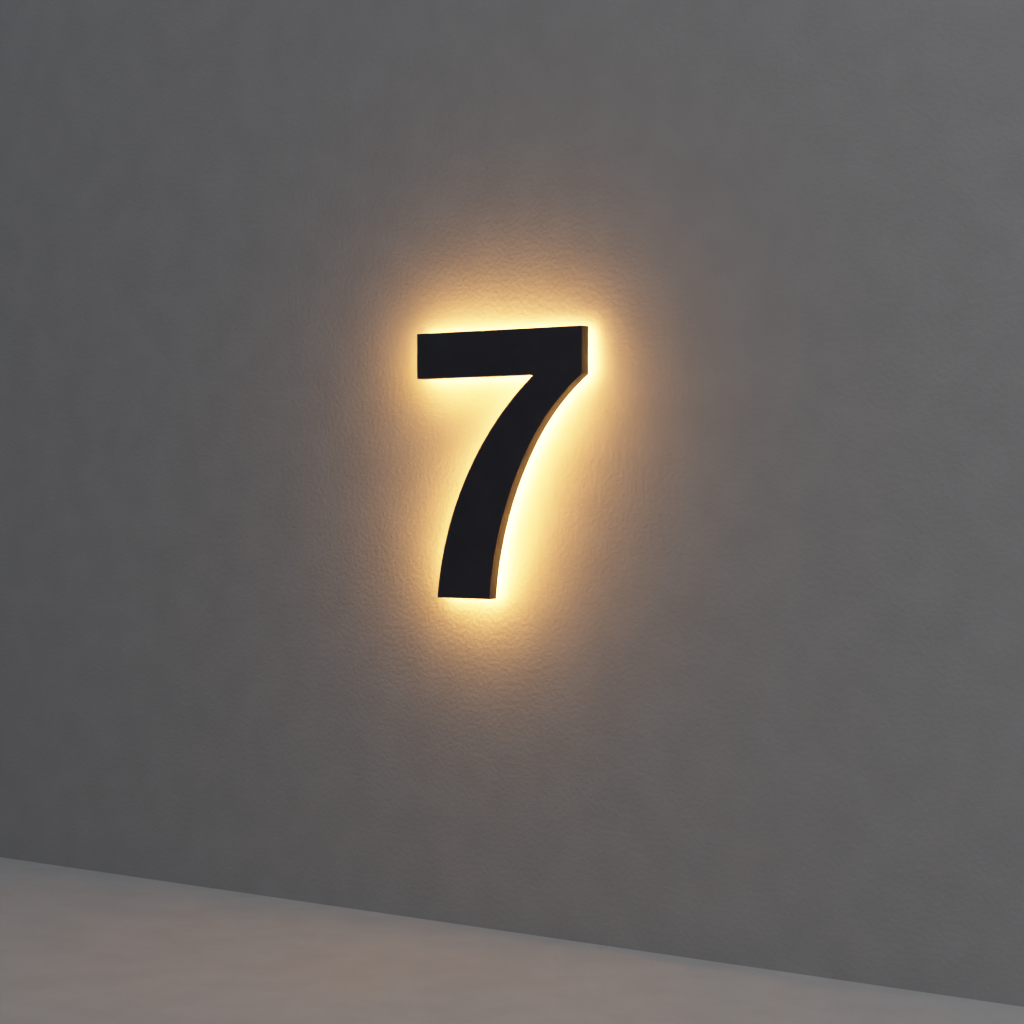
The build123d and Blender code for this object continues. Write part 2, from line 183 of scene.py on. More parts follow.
def cut(piece: bpy.types.Object, cutters: list[bpy.types.Object]) -> None:
    """Takes the cutters' volumes out of a piece and removes the cutters.

    Args:
        piece: the piece, which gets a new mesh.
        cutters: closed objects that are used up.
    """
    for cutter in cutters:
        hole = piece.modifiers.new("hole", "BOOLEAN")
        hole.operation = "DIFFERENCE"
        hole.solver = "EXACT"
        hole.object = cutter
    graph = bpy.context.evaluated_depsgraph_get()
    mesh = bpy.data.meshes.new_from_object(piece.evaluated_get(graph))
    piece.modifiers.clear()
    piece.data = mesh
    mesh.name = piece.name
    for cutter in cutters:
        bpy.data.objects.remove(cutter)
    shade(mesh)


# ---------------------------------------------------------------- outline of the numeral
# A stroke that turns by less than this in a metre is a line.
STRAIGHT = 1e-6
# A turn of fewer radians than this is smooth by itself and needs no mitre.
SMOOTH_JOIN = 0.01


@dataclass(frozen=True)
class Stroke:
    """One edge of the outline, a line or an arc, that leaves its start along a heading."""

    start: Array
    end: Array
    heading: Array

    @classmethod
    def straight(cls, start: Array, end: Array) -> "Stroke":
        """A line between two points."""
        return cls(start, end, unit(end - start))

    @classmethod
    def bowed(cls, start: Array, end: Array, radius: float) -> "Stroke":
        """An arc whose centre is on its left: it starts off its chord by asin(chord / 2 radius).

        Args:
            start: where the arc starts.
            end: where it ends.
            radius: its radius in metres.

        Returns:
            The arc.
        """
        chord = end - start
        half_turn = math.asin(np.linalg.norm(chord) / (2 * radius))
        return cls(start, end, heading_of(math.atan2(chord[1], chord[0]) - half_turn))

    @property
    def curvature(self) -> float:
        """Turn to the left per length: twice the end's offset to the left, over the chord squared."""
        chord = self.end - self.start
        return 2 * float(chord @ left_of(self.heading)) / float(chord @ chord)

    @property
    def length(self) -> float:
        """Length of the stroke: its chord for a line, and the angle times the radius for an arc."""
        chord, bend = float(np.linalg.norm(self.end - self.start)), abs(self.curvature)
        return chord if bend < STRAIGHT else 2 * math.asin(chord * bend / 2) / bend

    def at(self, lengths: Array) -> tuple[Array, Array]:
        """Points and unit tangents at lengths along the stroke.

        A tangent has turned by curvature times length. A point lies from the start at half that turn,
        as far as the length times sine(half turn) over the half turn.

        Args:
            lengths: lengths from the start, in metres.

        Returns:
            The points and the tangents, one row for each length.
        """
        first = math.atan2(self.heading[1], self.heading[0])
        half_turn = self.curvature * lengths / 2
        reach = lengths * np.sinc(half_turn / np.pi)
        points = self.start + reach[:, None] * heading_of(first + half_turn)
        return points, heading_of(first + 2 * half_turn)


@dataclass
class Outline:
    """The closed edge of the seven with rounded bends, in metres from its box's lower left corner."""

    width: float
    height: float
    bar_depth: float = 60.1 * MM
    underside_length: float = 186.6 * MM
    right_end_depth: float = 60.9 * MM
    foot_inset: float = 33.9 * MM
    foot_width: float = 84.2 * MM
    foot_lean: float = math.radians(4.2)
    stem_left_radius: float = 424 * MM
    knee_height: float = 197.5 * MM
    knee_width: float = 75.9 * MM
    bend_radius: float = 0.8 * MM
    spacing: float = 4.5 * MM
    bend_steps: int = 6
    points: Array = field(init=False)
    inward: Array = field(init=False)
    mitre: Array = field(init=False)
    bend: Array = field(init=False)

    def __post_init__(self) -> None:
        """Samples the strokes and the bends between them into points with their inward directions."""
        strokes = self.strokes()
        parts = []
        for index, stroke in enumerate(strokes):
            before, after = strokes[index - 1], strokes[(index + 1) % len(strokes)]
            parts.append(self.edge_points(stroke, self.trim(before, stroke), self.trim(stroke, after)))
            parts.append(self.bend_points(stroke, after))
        self.points, self.inward, self.mitre, self.bend = (np.concatenate(column) for column in zip(*parts))

    def strokes(self) -> list[Stroke]:
        """The eight edges, with the numeral on their left.

        Returns:
            The edges in order, from the foot round to it again.
        """
        underside = self.height - self.bar_depth
        foot_left = np.array((self.foot_inset, 0.0))
        foot_right = np.array((self.foot_inset + self.foot_width, 0.0))
        crotch = np.array((self.underside_length, underside))
        shoulder = np.array((self.width, self.height - self.right_end_depth))
        corner_right, corner_left = np.array((self.width, self.height)), np.array((0.0, self.height))
        bar_end = np.array((0.0, underside))
        stem_left = Stroke.bowed(crotch, foot_left, self.stem_left_radius)
        centre = crotch + left_of(stem_left.heading) * self.stem_left_radius
        knee_left = centre[0] - math.sqrt(self.stem_left_radius**2 - (self.knee_height - centre[1]) ** 2)
        knee = np.array((knee_left + self.knee_width, self.knee_height))
        lower = Stroke(foot_right, knee, heading_of(math.pi / 2 - self.foot_lean))
        upper = Stroke(knee, shoulder, lower.at(np.array([lower.length]))[1][0])
        return [
            Stroke.straight(foot_left, foot_right),
            lower,
            upper,
            Stroke.straight(shoulder, corner_right),
            Stroke.straight(corner_right, corner_left),
            Stroke.straight(corner_left, bar_end),
            Stroke.straight(bar_end, crotch),
            stem_left,
        ]

    def turn(self, before: Stroke, after: Stroke) -> float:
        """Angle to the left from the end of one stroke to the start of the next.

        Args:
            before: the stroke that ends at the corner.
            after: the stroke that starts there.

        Returns:
            The angle in radians, which is negative in a hollow corner.
        """
        end = before.at(np.array([before.length]))[1][0]
        start = after.heading
        return math.atan2(end[0] * start[1] - end[1] * start[0], float(end @ start))

    def trim(self, before: Stroke, after: Stroke) -> float:
        """How much of each stroke a bend takes up: the bend radius times the tangent of half the turn."""
        return self.bend_radius * math.tan(abs(self.turn(before, after)) / 2)

    def edge_points(self, stroke: Stroke, start: float, end: float) -> tuple[Array, ...]:
        """Points along a stroke between its bends, evenly spaced.

        Args:
            stroke: the stroke.
            start: length that the bend at its start takes up.
            end: length that the bend at its end takes up.

        Returns:
            Points, inward normals, mitres of none, and the insets up to which the normals hold, which have
            no limit here.
        """
        count = max(3, int((stroke.length - start - end) / self.spacing))
        lengths = np.linspace(start, stroke.length - end, count)[1:-1]
        points, headings = stroke.at(lengths)
        return points, left_of(headings), np.zeros_like(points), np.full(len(points), np.inf)

    def bend_points(self, before: Stroke, after: Stroke) -> tuple[Array, ...]:
        """Points round the bend between two strokes.

        A point is the bend's centre less its inward normal times the radius, with the normal swept from
        one stroke's to the next. In a convex bend an inset past the radius runs on along the mitre, which
        is the middle normal over the cosine of half the turn. A hollow bend has its centre outside and
        needs none.

        Args:
            before: the stroke that ends at the bend.
            after: the stroke that starts there.

        Returns:
            Points, inward normals, mitres, and the insets up to which the normals hold.
        """
        turn = self.turn(before, after)
        ends, headings = before.at(np.array([before.length - self.trim(before, after)]))
        end, heading = ends[0], headings[0]
        first = math.atan2(heading[1], heading[0]) + math.pi / 2
        normals = heading_of(first + np.linspace(0, turn, self.bend_steps + 1))
        side = math.copysign(1.0, turn)
        points = end + side * self.bend_radius * (normals[0] - normals)
        middle = heading_of(first + turn / 2) / math.cos(turn / 2)
        limit = self.bend_radius if turn > SMOOTH_JOIN else np.inf
        return points, normals, np.tile(middle, (len(points), 1)), np.full(len(points), limit)

    def inset(self, distance: float) -> Array:
        """The outline moved inward: along each normal, and past a convex bend's radius along its mitre.

        Args:
            distance: how far inward, in metres.

        Returns:
            A point in each row.
        """
        along = np.minimum(distance, self.bend)[:, None]
        beyond = np.maximum(distance - self.bend, 0)[:, None]
        return self.points + self.inward * along + self.mitre * beyond


@dataclass
class Plate:
    """Places the outline upright in the frame: its X stays X, its Y becomes up, and depth runs along Y."""

    outline: Outline
    left: float
    foot: float

    def swept(self, profile: list[Flat]) -> Array:
        """The surface whose row k is the outline moved inward by profile[k][0] at Y = profile[k][1].

        Args:
            profile: how far inward and at which Y each row lies.

        Returns:
            An array of rows by points by three coordinates.
        """
        rows = []
        for distance, depth in profile:
            across, up = self.outline.inset(distance).T
            row = (across + self.left, np.full(len(across), depth), up + self.foot)
            rows.append(np.column_stack(row))
        return np.array(rows)


# ---------------------------------------------------------------- shader helpers
# Nearly all values of a noise texture lie between these.
NOISE_LOW, NOISE_HIGH = 0.3, 0.7


class Board:
    """A node tree with a short way to place a node and link what it reads."""

    def __init__(self, tree: bpy.types.NodeTree) -> None:
        """Takes over a tree."""
        self.tree = tree

    def add(self, kind: str, inputs: dict[str | int, Any] | None = None, **settings: Any) -> bpy.types.Node:
        """Places a node.

        Args:
            kind: Blender's name of the node type.
            inputs: value, or output socket to link from, of each input.
            settings: properties of the node itself.

        Returns:
            The node.
        """
        node = self.tree.nodes.new(kind)
        for key, value in settings.items():
            setattr(node, key, value)
        for key, value in (inputs or {}).items():
            if isinstance(value, Socket):
                self.tree.links.new(value, node.inputs[key])
            else:
                node.inputs[key].default_value = value
        return node

    def math(self, operation: str, first: Any, second: Any = 0.0) -> Socket:
        """The result of one arithmetic step."""
        return self.add("ShaderNodeMath", {0: first, 1: second}, operation=operation).outputs[0]

    def range(self, value: Any, low: float, high: float, new_low: float, new_high: float) -> Socket:
        """A value moved from one range to another and held inside it."""
        ends = {"From Min": low, "From Max": high, "To Min": new_low, "To Max": new_high}
        return self.add("ShaderNodeMapRange", {"Value": value} | ends).outputs[0]

    def spread(self, noise: Socket, new_low: float, new_high: float) -> Socket:
        """A noise spread over a new range."""
        return self.range(noise, NOISE_LOW, NOISE_HIGH, new_low, new_high)

    def noise(self, vector: Socket, scale: Socket, detail: float) -> Socket:
        """Fractal noise over a vector."""
        inputs = {"Vector": vector, "Scale": scale, "Detail": detail}
        return self.add("ShaderNodeTexNoise", inputs).outputs[0]

    def mix(self, share: Any, first: Any, second: Any) -> Socket:
        """A colour between two colours; a mix node's colours are its inputs 6 and 7 and its output 2."""
        inputs = {0: share, 6: first, 7: second}
        return self.add("ShaderNodeMix", inputs, data_type="RGBA").outputs[2]

    def mix_shaders(self, share: Socket, first: bpy.types.Node, second: bpy.types.Node) -> Socket:
        """The first shader where the share is none, and the second where it is full."""
        inputs = {0: share, 1: first.outputs[0], 2: second.outputs[0]}
        return self.add("ShaderNodeMixShader", inputs).outputs[0]

    def bump(self, height: Any, strength: float, distance: float, normal: Any = None) -> Socket:
        """A normal from a height.

        Args:
            height: the height, from 0 to 1.
            strength: share of the bump that shows.
            distance: how high a height of 1 stands, in metres.
            normal: a normal that the bump goes on top of.

        Returns:
            The bumped normal.
        """
        inputs = {"Height": height, "Strength": strength, "Distance": distance}
        if normal is not None:
            inputs["Normal"] = normal
        return self.add("ShaderNodeBump", inputs).outputs[0]

    def effect(self, group: bpy.types.NodeTree, inputs: dict[str, Any]) -> bpy.types.Node:
        """Places a shared effect with its own values."""
        return self.add("ShaderNodeGroup", inputs, node_tree=group)

    def place(self) -> Socket:
        """Object coordinates, which are metres in the frame."""
        return self.add("ShaderNodeTexCoord").outputs["Object"]


class Effects:
    """Shader effects that several finishes share, each a node group that is built once."""

    SOCKETS = {"vector": "NodeSocketVector", "value": "NodeSocketFloat", "colour": "NodeSocketColor"}
    DRIFT_SCALE = 0.07
    MOTTLE_LOW, MOTTLE_HIGH = 0.35, 0.65
    UPWARD_FROM = 0.3
    LEAST_DUST = 0.3

    @classmethod
    def group(
        cls, name: str, takes: dict[str, str], gives: dict[str, str]
    ) -> tuple[bpy.types.NodeTree, Any, Any]:
        """An empty group with the ends that its nodes link to.

        Args:
            name: the group's name.
            takes: kind of each named input.
            gives: kind of each named output.

        Returns:
            The group's tree, the outputs of its input node, and the inputs of its output node.
        """
        tree = bpy.data.node_groups.new(name, "ShaderNodeTree")
        for way, sockets in (("INPUT", takes), ("OUTPUT", gives)):
            for title, kind in sockets.items():
                tree.interface.new_socket(name=title, in_out=way, socket_type=cls.SOCKETS[kind])
        start, end = tree.nodes.new("NodeGroupInput"), tree.nodes.new("NodeGroupOutput")
        return tree, start.outputs, end.inputs

    @classmethod
    @cache
    def grain(cls) -> bpy.types.NodeTree:
        """Fine surface grain: fractal noise with features of a given size, as a height and a slow drift.

        Returns:
            The group, which is made at the first call.
        """
        takes = {"Place": "vector", "Size": "value"}
        tree, start, end = cls.group("fine_grain", takes, {"Height": "value", "Drift": "value"})
        board = Board(tree)
        scale = board.math("DIVIDE", 1.0, start["Size"])
        inputs = {"Vector": start["Place"], "Scale": scale, "Detail": 3.0, "Roughness": 0.55}
        fine = board.add("ShaderNodeTexNoise", inputs)
        slow = board.noise(start["Place"], board.math("MULTIPLY", scale, cls.DRIFT_SCALE), 2.0)
        tree.links.new(fine.outputs[0], end["Height"])
        tree.links.new(slow, end["Drift"])
        return tree

    @classmethod
    @cache
    def mottle(cls) -> bpy.types.NodeTree:
        """Uneven colour: a noise of a given size moves the colour between a base and a variant.

        Returns:
            The group, which is made at the first call.
        """
        takes = {"Place": "vector", "Size": "value", "Share": "value"}
        takes |= {"Base": "colour", "Variant": "colour"}
        tree, start, end = cls.group("mottled_colour", takes, {"Colour": "colour"})
        board = Board(tree)
        noise = board.noise(start["Place"], board.math("DIVIDE", 1.0, start["Size"]), 4.0)
        spread = board.range(noise, cls.MOTTLE_LOW, cls.MOTTLE_HIGH, 0.0, 1.0)
        share = board.math("MULTIPLY", spread, start["Share"])
        tree.links.new(board.mix(share, start["Base"], start["Variant"]), end["Colour"])
        return tree

    @classmethod
    @cache
    def turned(cls) -> bpy.types.NodeTree:
        """Marks of turning or brushing across the wall's axis: noise that varies along Y alone.

        Returns:
            The group, which is made at the first call.
        """
        takes = {"Place": "vector", "Pitch": "value"}
        tree, start, end = cls.group("turned_lines", takes, {"Height": "value"})
        board = Board(tree)
        split = board.add("ShaderNodeSeparateXYZ", {0: start["Place"]})
        along = board.math("DIVIDE", split.outputs["Y"], start["Pitch"])
        inputs = {"W": along, "Scale": 1.0, "Detail": 2.0}
        noise = board.add("ShaderNodeTexNoise", inputs, noise_dimensions="1D")
        tree.links.new(noise.outputs[0], end["Height"])
        return tree

    @classmethod
    @cache
    def dust(cls) -> bpy.types.NodeTree:
        """Dust that settles on what faces up: the upward part of the normal times a patchy noise.

        Returns:
            The group, which is made at the first call.
        """
        takes = {"Place": "vector", "Size": "value", "Amount": "value"}
        tree, start, end = cls.group("settled_dust", takes, {"Mask": "value"})
        board = Board(tree)
        normal = board.add("ShaderNodeNewGeometry").outputs["Normal"]
        facing = board.add("ShaderNodeSeparateXYZ", {0: normal})
        upward = board.range(facing.outputs["Z"], cls.UPWARD_FROM, 1.0, 0.0, 1.0)
        noise = board.noise(start["Place"], board.math("DIVIDE", 1.0, start["Size"]), 5.0)
        patches = board.math("MULTIPLY", upward, board.spread(noise, cls.LEAST_DUST, 1.0))
        tree.links.new(board.math("MULTIPLY", patches, start["Amount"]), end["Mask"])
        return tree

    @classmethod
    def lamp_glow(cls, lamps: tuple[Place, ...]) -> bpy.types.NodeTree:
        """Soft bright spots: the sum over the lamps of e to the power of minus (distance / width) squared.

        Args:
            lamps: the spots' centres.

        Returns:
            The group.
        """
        takes = {"Place": "vector", "Width": "value"}
        tree, start, end = cls.group("lamp_glow", takes, {"Mask": "value"})
        board = Board(tree)
        total: Any = 0.0
        for lamp in lamps:
            inputs = {0: start["Place"], 1: lamp}
            away = board.add("ShaderNodeVectorMath", inputs, operation="DISTANCE").outputs["Value"]
            ratio = board.math("DIVIDE", away, start["Width"])
            power = board.math("MULTIPLY", board.math("MULTIPLY", ratio, ratio), -1.0)
            total = board.math("ADD", total, board.math("EXPONENT", power))
        tree.links.new(total, end["Mask"])
        return tree


# ---------------------------------------------------------------- finishes
def blank(name: str) -> tuple[bpy.types.Material, Board]:
    """An empty material.

    Args:
        name: its name.

    Returns:
        The material and its node tree.
    """
    material = bpy.data.materials.new(name)
    material.use_nodes = True
    material.node_tree.nodes.clear()
    return material, Board(material.node_tree)


def output(board: Board, shader: Socket) -> None:
    """Joins a shader to the material's output."""
    board.add("ShaderNodeOutputMaterial", {"Surface": shader})


def mottled(board: Board, size: float, share: float, base: Colour, variant: Colour) -> Socket:
    """The colour of the shared mottle effect.

    Args:
        board: the material's node tree.
        size: size of the patches in metres.
        share: how far a patch goes to the variant at most.
        base: colour between the patches.
        variant: colour that the patches go to.

    Returns:
        The colour.
    """
    inputs = {"Place": board.place(), "Size": size, "Share": share, "Base": base, "Variant": variant}
    return board.effect(Effects.mottle(), inputs).outputs[0]


@dataclass(frozen=True)
class PowderCoat:
    """Satin powder coat: orange peel over a finer grain, a little dust on what faces up."""

    name: str
    colour: Colour
    variant: Colour
    roughness: float = 0.5
    specular: float = 0.2
    peel_size: float = 2.2 * MM
    peel_height: float = 0.012 * MM
    grain_size: float = 0.35 * MM
    grain_height: float = 0.004 * MM
    patch_size: float = 40 * MM
    patch_share: float = 0.8
    smoother: float = 0.04
    rougher: float = 0.05
    dust_colour: Colour = (0.16, 0.15, 0.14, 1.0)
    dust_size: float = 18 * MM
    dust_amount: float = 0.12
    dust_roughness: float = 0.6

    def build(self) -> bpy.types.Material:
        """Makes the material.

        Returns:
            The material, named as the finish.
        """
        material, board = blank(self.name)
        place = board.place()
        peel = board.effect(Effects.grain(), {"Place": place, "Size": self.peel_size})
        grain = board.effect(Effects.grain(), {"Place": place, "Size": self.grain_size})
        colour = mottled(board, self.patch_size, self.patch_share, self.colour, self.variant)
        layer = {"Place": place, "Size": self.dust_size, "Amount": self.dust_amount}
        dust = board.effect(Effects.dust(), layer).outputs[0]
        normal = board.bump(peel.outputs["Height"], 1.0, self.peel_height)
        normal = board.bump(grain.outputs["Height"], 1.0, self.grain_height, normal)
        least, most = self.roughness - self.smoother, self.roughness + self.rougher
        drift = board.spread(peel.outputs["Drift"], least, most)
        inputs = {
            "Base Color": board.mix(dust, colour, self.dust_colour),
            "Roughness": board.math("ADD", drift, board.math("MULTIPLY", dust, self.dust_roughness)),
            "Specular IOR Level": self.specular,
            "Normal": normal,
        }
        output(board, board.add("ShaderNodeBsdfPrincipled", inputs).outputs[0])
        return material


@dataclass(frozen=True)
class Moulded:
    """Moulded plastic or rubber: a fine sparked grain and a slight drift of colour and gloss."""

    name: str
    colour: Colour
    variant: Colour
    roughness: float = 0.45
    grain_size: float = 0.5 * MM
    grain_height: float = 0.01 * MM
    patch_size: float = 12 * MM
    gloss_drift: float = 0.06
    glow: float = 0.0
    clear: float = 0.0
    soft: float = 0.0

    def build(self) -> bpy.types.Material:
        """Makes the material.

        Returns:
            The material, named as the finish.
        """
        material, board = blank(self.name)
        grain = board.effect(Effects.grain(), {"Place": board.place(), "Size": self.grain_size})
        colour = mottled(board, self.patch_size, 1.0, self.colour, self.variant)
        least, most = self.roughness - self.gloss_drift, self.roughness + self.gloss_drift
        inputs = {
            "Base Color": colour,
            "Roughness": board.spread(grain.outputs["Drift"], least, most),
            "Normal": board.bump(grain.outputs["Height"], 1.0, self.grain_height),
            "Transmission Weight": self.clear,
            "Sheen Weight": self.soft,
        }
        if self.glow:
            inputs |= {"Emission Color": colour, "Emission Strength": self.glow}
        output(board, board.add("ShaderNodeBsdfPrincipled", inputs).outputs[0])
        return material


@dataclass(frozen=True)
class Machined:
    """Turned or brushed metal: fine lines across the wall's axis, handling marks in its gloss."""

    name: str
    colour: Colour
    variant: Colour
    roughness: float = 0.28
    line_pitch: float = 0.12 * MM
    line_height: float = 0.006 * MM
    mark_size: float = 1.5 * MM
    patch_size: float = 6 * MM
    smoother: float = 0.06
    rougher: float = 0.1

    def build(self) -> bpy.types.Material:
        """Makes the material.

        Returns:
            The material, named as the finish.
        """
        material, board = blank(self.name)
        place = board.place()
        lines = board.effect(Effects.turned(), {"Place": place, "Pitch": self.line_pitch})
        marks = board.effect(Effects.grain(), {"Place": place, "Size": self.mark_size})
        least, most = self.roughness - self.smoother, self.roughness + self.rougher
        inputs = {
            "Base Color": mottled(board, self.patch_size, 1.0, self.colour, self.variant),
            "Metallic": 1.0,
            "Roughness": board.spread(marks.outputs["Drift"], least, most),
            "Normal": board.bump(lines.outputs[0], 1.0, self.line_height),
        }
        output(board, board.add("ShaderNodeBsdfPrincipled", inputs).outputs[0])
        return material


@dataclass(frozen=True)
class LitOpal:
    """Opal sheet lit from inside.

    What it sheds on the wall is as bright as the real one. What an eye sees of it directly is the same
    sheet as a camera holds it: milky, with a soft bright spot over each lamp module.
    """

    name: str
    lamps: tuple[Place, ...]
    sheet: Colour = (0.2, 0.195, 0.185, 1.0)
    haze: Colour = (0.17, 0.165, 0.155, 1.0)
    haze_size: float = 25 * MM
    haze_share: float = 0.6
    grain_size: float = 0.8 * MM
    grain_height: float = 0.01 * MM
    smoothest: float = 0.32
    roughest: float = 0.42
    shedding_roughness: float = 0.5
    light: Colour = (1.0, 0.45, 0.12, 1.0)
    power: float = 68.0
    between: Colour = (1.0, 0.46, 0.13, 1.0)
    over_lamp: Colour = (1.0, 0.8, 0.45, 1.0)
    seen: float = 0.8
    spot_width: float = 17 * MM

    def build(self) -> bpy.types.Material:
        """Makes the material.

        Returns:
            The material, named as the finish.
        """
        material, board = blank(self.name)
        place = board.place()
        grain = board.effect(Effects.grain(), {"Place": place, "Size": self.grain_size})
        glow = {"Place": place, "Width": self.spot_width}
        spots = board.effect(Effects.lamp_glow(self.lamps), glow).outputs[0]
        colour = mottled(board, self.haze_size, self.haze_share, self.sheet, self.haze)
        shedding = {
            "Base Color": colour,
            "Roughness": self.shedding_roughness,
            "Emission Color": self.light,
            "Emission Strength": self.power,
        }
        seen = {
            "Base Color": colour,
            "Roughness": board.spread(grain.outputs["Drift"], self.smoothest, self.roughest),
            "Normal": board.bump(grain.outputs["Height"], 1.0, self.grain_height),
            "Emission Color": board.mix(spots, self.between, self.over_lamp),
            "Emission Strength": self.seen,
        }
        by_camera = board.add("ShaderNodeLightPath").outputs["Is Camera Ray"]
        sides = (board.add("ShaderNodeBsdfPrincipled", inputs) for inputs in (shedding, seen))
        output(board, board.mix_shaders(by_camera, *sides))
        return material


def finishes(lamps: tuple[Place, ...]) -> dict[str, Any]:
    """The finish of every material slot in the record.

    Args:
        lamps: centres of the bright spots on the opal sheet.

    Returns:
        A finish for each slot.
    """
    return {
        "black_coat": PowderCoat("satin_black_coat", (0.033, 0.032, 0.039, 1), (0.041, 0.04, 0.047, 1)),
        "opal_panel": LitOpal("opal_sheet", lamps),
        "white_plastic": Moulded("white_plastic", (0.8, 0.79, 0.76, 1), (0.74, 0.73, 0.7, 1)),
        "board_white": Moulded(
            "board_resist", (0.85, 0.85, 0.82, 1), (0.8, 0.8, 0.78, 1), roughness=0.3
        ),
        "clear_lens": Moulded(
            "clear_lens", (0.95, 0.97, 0.97, 1), (0.9, 0.93, 0.93, 1), roughness=0.08, clear=1.0
        ),
        "lamp_yellow": Moulded("lamp_phosphor", (1.0, 0.8, 0.35, 1), (1.0, 0.7, 0.25, 1), glow=3.0),
        "stainless": Machined("stainless_steel", (0.58, 0.57, 0.55, 1), (0.5, 0.49, 0.47, 1)),
        "bare_aluminium": Machined(
            "turned_aluminium", (0.74, 0.75, 0.76, 1), (0.66, 0.67, 0.68, 1), roughness=0.36
        ),
        "black_rubber": Moulded(
            "black_rubber", (0.022, 0.022, 0.023, 1), (0.035, 0.035, 0.035, 1), roughness=0.72, soft=0.1
        ),
        "natural_nylon": Moulded(
            "natural_nylon", (0.76, 0.73, 0.66, 1), (0.7, 0.67, 0.58, 1), roughness=0.5
        ),
        "clamp_brass": Machined(
            "turned_brass", (0.75, 0.55, 0.26, 1), (0.66, 0.46, 0.2, 1), roughness=0.32
        ),
        "wire_red": Moulded(
            "red_insulation", (0.5, 0.02, 0.02, 1), (0.42, 0.015, 0.015, 1), roughness=0.38
        ),
        "wire_black": Moulded(
            "black_insulation", (0.02, 0.02, 0.02, 1), (0.03, 0.03, 0.03, 1), roughness=0.4
        ),
        "foam_grey": Moulded(
            "foam_tape", (0.42, 0.42, 0.42, 1), (0.34, 0.34, 0.34, 1), 0.9, 0.7 * MM, 0.15 * MM
        ),
    }


def strip_finish() -> PowderCoat:
    """The coat of the strip, a little darker and rougher than the face's."""
    colour, variant = (0.019, 0.0185, 0.019, 1), (0.025, 0.024, 0.024, 1)
    return PowderCoat("strip_black_coat", colour, variant, roughness=0.55, specular=0.16)


def dress(piece: bpy.types.Object, material: bpy.types.Material) -> None:
    """Gives a piece one material in place of what it had."""
    piece.data.materials.clear()
    piece.data.materials.append(material)


# ---------------------------------------------------------------- sub-assemblies
@dataclass
class Shell:
    """The painted shell: the flat face and the strip bent round its outline."""

    plate: Plate
    front: float
    face_back: float
    back: float
    face_bevel: float = 0.35 * MM
    seam: float = 0.12 * MM
    thickness: float = 1.2 * MM
    back_round: float = 0.35 * MM
    drain_radius: float = 2.0 * MM
    drill_reach: float = 3.6 * MM
    drill_sides: int = 24
    foot_drain_inset: float = 20 * MM
    bar_drain_inset: float = 45 * MM
    round_steps: int = 4

    def face(self) -> bpy.types.Object:
        """The face: the outline from its back to its front with a quarter round of the bevel's radius.

        Returns:
            The face plate.
        """
        front, bevel = self.front, self.face_bevel
        profile = [(self.seam, self.face_back), (0.0, self.face_back - self.seam)]
        profile += arc((bevel, front + bevel), bevel, 180, 270, self.round_steps)
        return surface("numeral_face", self.plate.swept(profile), Ends.CAPPED)

    def strip(self) -> bpy.types.Object:
        """The strip: a closed section carried round the outline, its free edge rounded on both sides.

        Returns:
            The strip with its drain holes.
        """
        radius = self.back_round
        low = self.back - radius
        profile = [(self.seam, self.face_back), (0.0, self.face_back + self.seam)]
        profile += arc((radius, low), radius, 180, 90, self.round_steps)
        profile += arc((self.thickness - radius, low), radius, 90, 0, self.round_steps)
        profile.append((self.thickness, self.face_back))
        piece = surface("numeral_return", self.plate.swept(profile), Ends.JOINED)
        cut(piece, [self.drill(x, z) for x, z in self.drains()])
        return piece

    def drains(self) -> list[Flat]:
        """Where the drain holes are: two in the foot and two in the bar's underside.

        Returns:
            X and Z of each.
        """
        line, left, foot = self.plate.outline, self.plate.left, self.plate.foot
        underside = foot + line.height - line.bar_depth
        inset = left + line.foot_inset
        return [
            (inset + self.foot_drain_inset, foot),
            (inset + line.foot_width - self.foot_drain_inset, foot),
            (left + self.bar_drain_inset, underside),
            (left + line.underside_length - self.bar_drain_inset, underside),
        ]

    def drill(self, x: float, z: float) -> bpy.types.Object:
        """An upright rod through the strip: a circle about (x, middle of the strip) at two heights.

        Args:
            x: X of the rod's axis.
            z: Z of the wall that it goes through.

        Returns:
            The rod, to cut with.
        """
        angles = np.linspace(0, 2 * np.pi, self.drill_sides, endpoint=False)
        ring = heading_of(angles) * self.drain_radius + np.array((x, (self.back + self.face_back) / 2))
        heights = (z - self.drill_reach, z + self.drill_reach)
        rows = [np.column_stack((ring, np.full(len(ring), height))) for height in heights]
        return surface("drill", np.array(rows), Ends.CAPPED)

    def build(self, face_coat: bpy.types.Material, strip_coat: bpy.types.Material) -> None:
        """Makes both pieces on the numeral.

        Args:
            face_coat: coat of the face.
            strip_coat: coat of the strip.
        """
        face, strip = self.face(), self.strip()
        shell = ((face, face_coat, ["face_plate"]), (strip, strip_coat, ["return_bar", "return_stem"]))
        for piece, material, nodes in shell:
            dress(piece, material)
            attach(piece, "numeral")
            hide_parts(*nodes)
            LOG.info("%s: %d faces", piece.name, len(piece.data.polygons))


